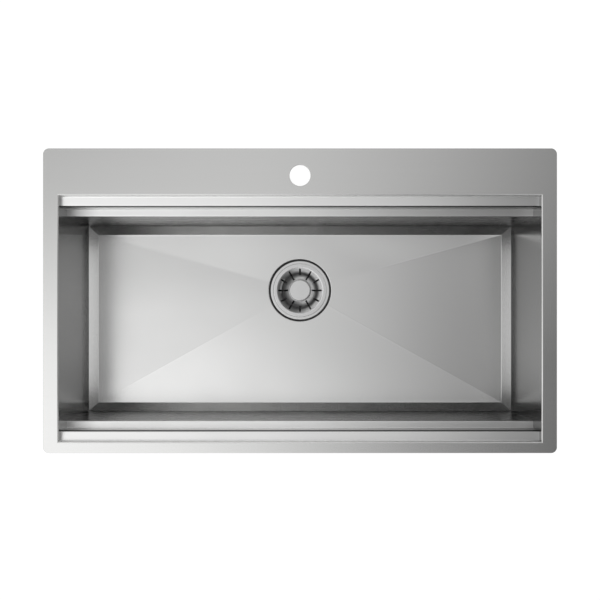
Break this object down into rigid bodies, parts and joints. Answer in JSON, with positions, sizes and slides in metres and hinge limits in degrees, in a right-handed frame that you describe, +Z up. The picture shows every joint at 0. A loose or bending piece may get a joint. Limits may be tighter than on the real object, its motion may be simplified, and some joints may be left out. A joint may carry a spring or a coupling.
{
  "type": "single bowl kitchen sink",
  "caption": "Drop-in steel kitchen sink with a rectangular bowl, front and rear ledges, creased floor, tap hole, lift-out basket strainer and worktop clips.",
  "frame": {"origin": "middle of the deck outline, on the plane of the worktop under the deck edge", "axes": "+X to the right along the long side, +Y to the tap side, +Z up"},
  "size_m": [0.86, 0.51, 0.393],
  "materials": {
    "brushed_sheet": "brushed",
    "polished_steel": "polished",
    "plain_steel": "mill",
    "plated_steel": "zinc plated",
    "foam": "foam",
    "rubber": "matt",
    "pad_rubber": "matt",
    "fibre": "fibre board",
    "nut_plastic": "moulded"
  },
  "bodies": {
    "sink": {"deck_plate": "brushed_sheet", "rear_wall": "brushed_sheet", "front_wall": "brushed_sheet", "left_end_wall": "brushed_sheet", "right_end_wall": "brushed_sheet", "floor_pan": "brushed_sheet", "tap_hole_stiffener": "plain_steel", "deck_gasket": "foam", "clip_brackets": "plain_steel", "rear_sound_pad": "pad_rubber", "front_sound_pad": "pad_rubber", "left_sound_pad": "pad_rubber", "right_sound_pad": "pad_rubber", "left_floor_pad": "pad_rubber", "right_floor_pad": "pad_rubber", "strainer_body": "polished_steel", "outlet_spigot": "plain_steel", "flange_gasket": "rubber", "clamp_rubber_ring": "rubber", "clamp_fibre_ring": "fibre", "clamp_nut": "nut_plastic", "tailpiece_washer": "rubber", "tailpiece": "polished_steel", "coupling_nut": "nut_plastic"},
    "basket_stem_unit": {"basket_knob": "polished_steel", "basket_stem": "plain_steel", "stopper_seal": "rubber", "stopper_washer": "plain_steel", "stem_snap_ring": "plain_steel"},
    "basket": {"strainer_basket": "polished_steel"},
    "clip_1_washer": {"clip_washer_1": "plated_steel"},
    "clip_1_screw": {"clip_screw_1": "plated_steel"},
    "clip_1_claw": {"clip_claw_1": "plated_steel"},
    "clip_2_washer": {"clip_washer_2": "plated_steel"},
    "clip_2_screw": {"clip_screw_2": "plated_steel"},
    "clip_2_claw": {"clip_claw_2": "plated_steel"},
    "clip_3_washer": {"clip_washer_3": "plated_steel"},
    "clip_3_screw": {"clip_screw_3": "plated_steel"},
    "clip_3_claw": {"clip_claw_3": "plated_steel"},
    "clip_4_washer": {"clip_washer_4": "plated_steel"},
    "clip_4_screw": {"clip_screw_4": "plated_steel"},
    "clip_4_claw": {"clip_claw_4": "plated_steel"},
    "clip_5_washer": {"clip_washer_5": "plated_steel"},
    "clip_5_screw": {"clip_screw_5": "plated_steel"},
    "clip_5_claw": {"clip_claw_5": "plated_steel"},
    "clip_6_washer": {"clip_washer_6": "plated_steel"},
    "clip_6_screw": {"clip_screw_6": "plated_steel"},
    "clip_6_claw": {"clip_claw_6": "plated_steel"},
    "clip_7_washer": {"clip_washer_7": "plated_steel"},
    "clip_7_screw": {"clip_screw_7": "plated_steel"},
    "clip_7_claw": {"clip_claw_7": "plated_steel"},
    "clip_8_washer": {"clip_washer_8": "plated_steel"},
    "clip_8_screw": {"clip_screw_8": "plated_steel"},
    "clip_8_claw": {"clip_claw_8": "plated_steel"}
  },
  "joints": [
    {"name": "basket_lift", "type": "slide", "parent": "sink", "child": "basket_stem_unit", "axis": [0, 0, 1], "range_m": [0, 0.07]},
    {"name": "basket_turn", "type": "hinge", "parent": "basket_stem_unit", "child": "basket", "pos_m": [0, 0.025, -0.2192], "axis": [0, 0, 1], "continuous": true},
    {"name": "clip_1_rise", "type": "slide", "parent": "sink", "child": "clip_1_washer", "axis": [0, 0, 1], "range_m": [0, 0.013]},
    {"name": "clip_1_turn", "type": "hinge", "parent": "clip_1_washer", "child": "clip_1_screw", "pos_m": [0.215, 0.24135, -0.054], "axis": [0, 0, 1], "range_deg": [0, 6690]},
    {"name": "clip_1_swing", "type": "hinge", "parent": "clip_1_washer", "child": "clip_1_claw", "pos_m": [0.215, 0.24135, -0.054], "axis": [0, 0, 1], "range_deg": [0, 90]},
    {"name": "clip_2_rise", "type": "slide", "parent": "sink", "child": "clip_2_washer", "axis": [0, 0, 1], "range_m": [0, 0.013]},
    {"name": "clip_2_turn", "type": "hinge", "parent": "clip_2_washer", "child": "clip_2_screw", "pos_m": [-0.215, 0.24135, -0.054], "axis": [0, 0, 1], "range_deg": [0, 6690]},
    {"name": "clip_2_swing", "type": "hinge", "parent": "clip_2_washer", "child": "clip_2_claw", "pos_m": [-0.215, 0.24135, -0.054], "axis": [0, 0, 1], "range_deg": [0, 90]},
    {"name": "clip_3_rise", "type": "slide", "parent": "sink", "child": "clip_3_washer", "axis": [0, 0, 1], "range_m": [0, 0.013]},
    {"name": "clip_3_turn", "type": "hinge", "parent": "clip_3_washer", "child": "clip_3_screw", "pos_m": [0.215, -0.24135, -0.054], "axis": [0, 0, 1], "range_deg": [0, 6690]},
    {"name": "clip_3_swing", "type": "hinge", "parent": "clip_3_washer", "child": "clip_3_claw", "pos_m": [0.215, -0.24135, -0.054], "axis": [0, 0, 1], "range_deg": [0, 90]},
    {"name": "clip_4_rise", "type": "slide", "parent": "sink", "child": "clip_4_washer", "axis": [0, 0, 1], "range_m": [0, 0.013]},
    {"name": "clip_4_turn", "type": "hinge", "parent": "clip_4_washer", "child": "clip_4_screw", "pos_m": [-0.215, -0.24135, -0.054], "axis": [0, 0, 1], "range_deg": [0, 6690]},
    {"name": "clip_4_swing", "type": "hinge", "parent": "clip_4_washer", "child": "clip_4_claw", "pos_m": [-0.215, -0.24135, -0.054], "axis": [0, 0, 1], "range_deg": [0, 90]},
    {"name": "clip_5_rise", "type": "slide", "parent": "sink", "child": "clip_5_washer", "axis": [0, 0, 1], "range_m": [0, 0.013]},
    {"name": "clip_5_turn", "type": "hinge", "parent": "clip_5_washer", "child": "clip_5_screw", "pos_m": [-0.41635, 0.13, -0.054], "axis": [0, 0, 1], "range_deg": [0, 6690]},
    {"name": "clip_5_swing", "type": "hinge", "parent": "clip_5_washer", "child": "clip_5_claw", "pos_m": [-0.41635, 0.13, -0.054], "axis": [0, 0, 1], "range_deg": [0, 90]},
    {"name": "clip_6_rise", "type": "slide", "parent": "sink", "child": "clip_6_washer", "axis": [0, 0, 1], "range_m": [0, 0.013]},
    {"name": "clip_6_turn", "type": "hinge", "parent": "clip_6_washer", "child": "clip_6_screw", "pos_m": [-0.41635, -0.13, -0.054], "axis": [0, 0, 1], "range_deg": [0, 6690]},
    {"name": "clip_6_swing", "type": "hinge", "parent": "clip_6_washer", "child": "clip_6_claw", "pos_m": [-0.41635, -0.13, -0.054], "axis": [0, 0, 1], "range_deg": [0, 90]},
    {"name": "clip_7_rise", "type": "slide", "parent": "sink", "child": "clip_7_washer", "axis": [0, 0, 1], "range_m": [0, 0.013]},
    {"name": "clip_7_turn", "type": "hinge", "parent": "clip_7_washer", "child": "clip_7_screw", "pos_m": [0.41635, 0.13, -0.054], "axis": [0, 0, 1], "range_deg": [0, 6690]},
    {"name": "clip_7_swing", "type": "hinge", "parent": "clip_7_washer", "child": "clip_7_claw", "pos_m": [0.41635, 0.13, -0.054], "axis": [0, 0, 1], "range_deg": [0, 90]},
    {"name": "clip_8_rise", "type": "slide", "parent": "sink", "child": "clip_8_washer", "axis": [0, 0, 1], "range_m": [0, 0.013]},
    {"name": "clip_8_turn", "type": "hinge", "parent": "clip_8_washer", "child": "clip_8_screw", "pos_m": [0.41635, -0.13, -0.054], "axis": [0, 0, 1], "range_deg": [0, 6690]},
    {"name": "clip_8_swing", "type": "hinge", "parent": "clip_8_washer", "child": "clip_8_claw", "pos_m": [0.41635, -0.13, -0.054], "axis": [0, 0, 1], "range_deg": [0, 90]}
  ],
  "couplings": [
    {"joint": "clip_1_turn", "follows": "clip_1_rise", "rad_per_m": 8976},
    {"joint": "clip_2_turn", "follows": "clip_2_rise", "rad_per_m": 8976},
    {"joint": "clip_3_turn", "follows": "clip_3_rise", "rad_per_m": 8976},
    {"joint": "clip_4_turn", "follows": "clip_4_rise", "rad_per_m": 8976},
    {"joint": "clip_5_turn", "follows": "clip_5_rise", "rad_per_m": 8976},
    {"joint": "clip_6_turn", "follows": "clip_6_rise", "rad_per_m": 8976},
    {"joint": "clip_7_turn", "follows": "clip_7_rise", "rad_per_m": 8976},
    {"joint": "clip_8_turn", "follows": "clip_8_rise", "rad_per_m": 8976}
  ]
}
